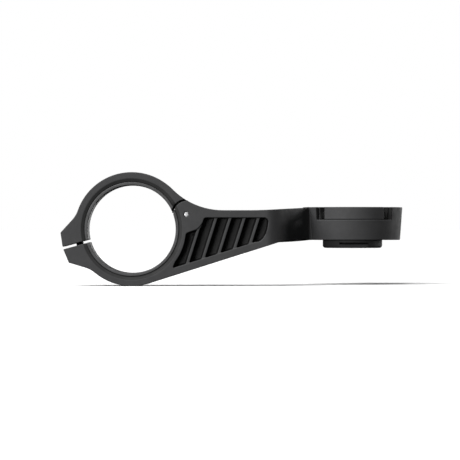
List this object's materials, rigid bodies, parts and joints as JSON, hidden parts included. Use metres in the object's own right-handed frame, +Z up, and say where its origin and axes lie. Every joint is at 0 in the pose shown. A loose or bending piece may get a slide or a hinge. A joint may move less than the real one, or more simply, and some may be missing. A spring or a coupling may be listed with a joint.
{
  "type": "handlebar computer mount",
  "caption": "Out-front bicycle handlebar mount with a hinged clamp, an offset arm and a quarter-turn receiver.",
  "frame": {"origin": "centre of the handlebar bore, half way along the clamp's width", "axes": "+X forward from the handlebar to the receiver, +Y along the bar towards the receiver's side, +Z up"},
  "size_m": [0.1258, 0.0543, 0.0412],
  "materials": {
    "black_nylon": "fine moulded grain",
    "bar_pad_rubber": "matt",
    "polished_steel": "polished",
    "black_steel": "black oxide",
    "brass": "turned"
  },
  "bodies": {
    "arm": {"arm_body": "black_nylon", "lower_liner": "bar_pad_rubber", "hinge_pin": "polished_steel", "clamp_bush": "brass", "quarter_turn_insert": "black_nylon", "accessory_cover": "black_nylon", "insert_screw_near": "black_steel", "insert_screw_far": "black_steel", "insert_bush_near": "brass", "insert_bush_far": "brass", "cover_screw_front": "black_steel", "cover_screw_back": "black_steel", "cover_bush_front": "brass", "cover_bush_back": "brass"},
    "jaw": {"upper_jaw": "black_nylon", "upper_liner": "bar_pad_rubber"},
    "washer": {"bolt_washer": "black_steel"},
    "bolt": {"clamp_bolt": "black_steel"}
  },
  "joints": [
    {"name": "clamp_hinge", "type": "hinge", "parent": "arm", "child": "jaw", "pos_m": [0.0198, 0, 0.00535], "axis": [0, 1, 0], "range_deg": [0, 55]},
    {"name": "bolt_travel", "type": "slide", "parent": "jaw", "child": "washer", "axis": [-0.2656, 0, 0.9641], "range_m": [0, 0.0035]},
    {"name": "bolt_turn", "type": "hinge", "parent": "washer", "child": "bolt", "pos_m": [-0.01899, 0, -0.00523], "axis": [-0.2656, 0, 0.9641], "range_deg": [0, 2520]}
  ],
  "couplings": [
    {"joint": "bolt_turn", "follows": "bolt_travel", "rad_per_m": 12566}
  ]
}
